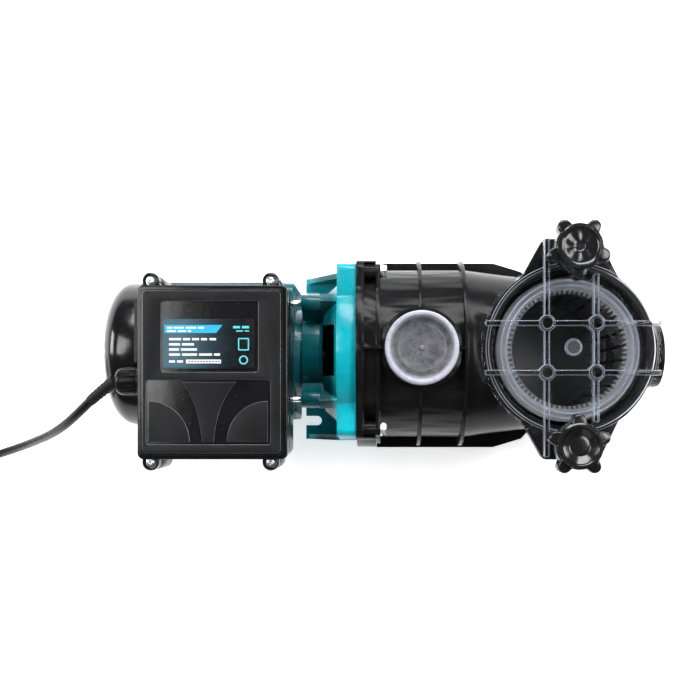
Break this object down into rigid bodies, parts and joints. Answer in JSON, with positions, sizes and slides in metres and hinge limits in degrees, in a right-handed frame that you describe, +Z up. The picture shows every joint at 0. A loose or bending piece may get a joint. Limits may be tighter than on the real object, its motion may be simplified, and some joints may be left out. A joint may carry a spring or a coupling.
{
  "type": "pool pump",
  "caption": "Self-priming pool pump with finned electric motor, cast bracket, strainer pot under a clear screw-down lid, and threaded suction and discharge ports.",
  "frame": {"origin": "on the floor below the middle of the pump, without its cord", "axes": "+X from the motor towards the suction port, along the shaft; +Z up"},
  "size_m": [0.78, 0.2295, 0.22],
  "materials": {
    "teal_paint": "gloss",
    "black_gloss": "gloss",
    "black_satin": "satin",
    "black_textured": "fine texture",
    "steel": "brushed",
    "dark_steel": "rolled",
    "copper": "enamelled wire",
    "aluminium_die": "die cast",
    "rubber_black": "matt",
    "clear_polycarbonate": "clear",
    "grey_cap": "satin",
    "label": "printed film",
    "ceramic": "polished",
    "grey_plastic": "satin",
    "white_plastic": "satin"
  },
  "bodies": {
    "pump": {"bracket": "teal_paint", "front_end_shield": "teal_paint", "motor_frame": "teal_paint", "rear_end_shield": "aluminium_die", "fan_cover": "black_gloss", "pump_body": "black_satin", "seal_plate": "black_satin", "diffuser": "black_satin", "seal_seat": "ceramic", "stator_core": "dark_steel", "windings": "copper", "front_bearing": "steel", "rear_bearing": "steel", "cover_screws": "steel", "tie_rods": "steel", "motor_foot": "rubber_black", "box_base": "black_satin", "box_lid": "black_textured", "box_gasket": "rubber_black", "box_screws": "steel", "rating_plate": "label", "capacitor": "white_plastic", "terminal_block": "white_plastic", "cable_gland": "black_satin", "gland_nut": "black_satin", "mains_cord": "rubber_black", "cord_coil": "rubber_black", "coil_tie": "black_satin", "mains_plug": "rubber_black", "lid_o_ring": "rubber_black", "lid_studs": "steel", "body_bolts": "steel", "body_washers": "steel", "body_o_ring": "rubber_black"},
    "rotor": {"shaft": "steel", "rotor_core": "dark_steel", "cooling_fan": "grey_plastic", "impeller": "grey_plastic", "impeller_nut": "steel", "seal_rotor": "steel"},
    "lid": {"strainer_lid": "clear_polycarbonate"},
    "washer_a": {"knob_washer_a": "steel"},
    "knob_a": {"knob_a": "black_gloss"},
    "washer_b": {"knob_washer_b": "steel"},
    "knob_b": {"knob_b": "black_gloss"},
    "basket": {"strainer_basket": "grey_plastic"},
    "cap": {"discharge_cap": "grey_cap"},
    "ring_pump": {"drain_ring_pump": "rubber_black"},
    "plug_pump": {"drain_plug_pump": "black_gloss"},
    "ring_pot": {"drain_ring_pot": "rubber_black"},
    "plug_pot": {"drain_plug_pot": "black_gloss"}
  },
  "joints": [
    {"name": "rotor_spin", "type": "hinge", "parent": "pump", "child": "rotor", "pos_m": [-0.15, 0, 0.095], "axis": [1, 0, 0], "continuous": true},
    {"name": "lid_lift", "type": "slide", "parent": "pump", "child": "lid", "axis": [0, 0, 1], "range_m": [0, 0.26]},
    {"name": "basket_lift", "type": "slide", "parent": "pump", "child": "basket", "axis": [0, 0, 1], "range_m": [0, 0.145]},
    {"name": "cap_lift", "type": "slide", "parent": "pump", "child": "cap", "axis": [0, 0, 1], "range_m": [0, 0.04]},
    {"name": "knob_a_rise", "type": "slide", "parent": "lid", "child": "washer_a", "axis": [0, 0, 1], "range_m": [0, 0.01]},
    {"name": "knob_a_turn", "type": "hinge", "parent": "washer_a", "child": "knob_a", "pos_m": [0.1547, 0.081, 0.19], "axis": [0, 0, 1], "range_deg": [0, 2880]},
    {"name": "knob_b_rise", "type": "slide", "parent": "lid", "child": "washer_b", "axis": [0, 0, 1], "range_m": [0, 0.01]},
    {"name": "knob_b_turn", "type": "hinge", "parent": "washer_b", "child": "knob_b", "pos_m": [0.1547, -0.081, 0.19], "axis": [0, 0, 1], "range_deg": [0, 2880]},
    {"name": "drain_pump_rise", "type": "slide", "parent": "pump", "child": "ring_pump", "axis": [0, -1, 0], "range_m": [0, 0.012]},
    {"name": "drain_pump_turn", "type": "hinge", "parent": "ring_pump", "child": "plug_pump", "pos_m": [0.04, -0.066, 0.04], "axis": [0, -1, 0], "range_deg": [0, 2160]},
    {"name": "drain_pot_rise", "type": "slide", "parent": "pump", "child": "ring_pot", "axis": [0, -1, 0], "range_m": [0, 0.012]},
    {"name": "drain_pot_turn", "type": "hinge", "parent": "ring_pot", "child": "plug_pot", "pos_m": [0.1534, -0.082, 0.042], "axis": [0, -1, 0], "range_deg": [0, 2160]}
  ],
  "couplings": [
    {"joint": "basket_lift", "follows": "lid_lift", "ratio": 0.55},
    {"joint": "knob_a_turn", "follows": "knob_a_rise", "rad_per_m": 5026.5},
    {"joint": "knob_b_turn", "follows": "knob_b_rise", "rad_per_m": 5026.5},
    {"joint": "drain_pump_turn", "follows": "drain_pump_rise", "rad_per_m": 3141.5},
    {"joint": "drain_pot_turn", "follows": "drain_pot_rise", "rad_per_m": 3141.5}
  ]
}
